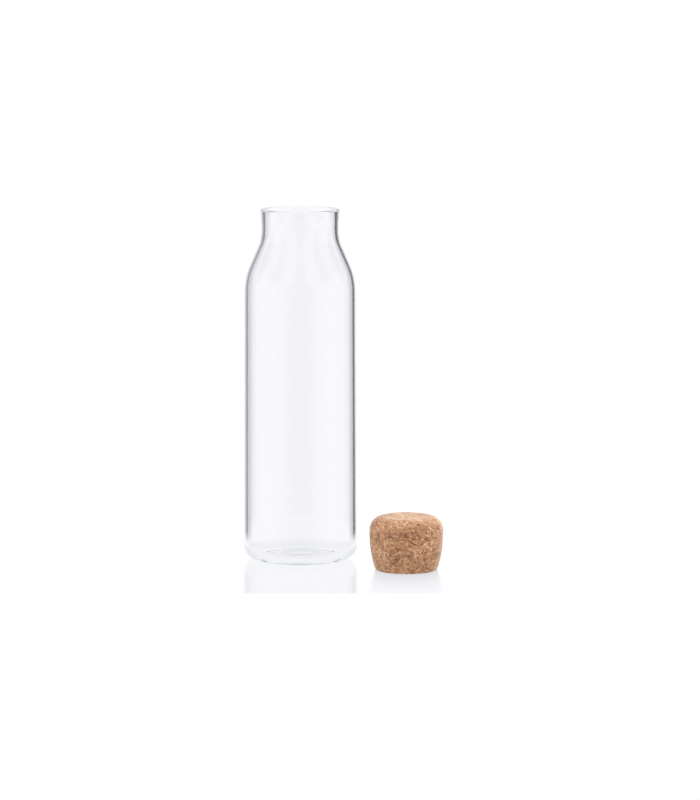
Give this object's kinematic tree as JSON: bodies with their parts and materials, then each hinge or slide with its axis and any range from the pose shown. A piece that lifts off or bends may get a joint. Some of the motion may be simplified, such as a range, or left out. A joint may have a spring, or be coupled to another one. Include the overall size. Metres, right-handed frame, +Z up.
{
  "type": "glass water bottle",
  "caption": "Straight-sided clear glass water bottle with a sloped shoulder and wide open neck, and the round-topped tapered cork stopper that wedges into it.",
  "frame": {"origin": "centre of the ring that the bottle stands on, at table height", "axes": "+Z up along the bottle's axis; +X to the right and -Y to the front, where the stopper stands"},
  "size_m": [0.1433, 0.1133, 0.254],
  "materials": {
    "clear_glass": "gloss",
    "cork": "matte"
  },
  "bodies": {
    "bottle": {"glass_bottle": "clear_glass"},
    "stopper": {"cork_stopper": "cork"}
  },
  "joints": [
    {"name": "stopper_lift", "type": "slide", "parent": "bottle", "child": "stopper", "axis": [0, 0, 1], "range_m": [0, 0.28]}
  ]
}
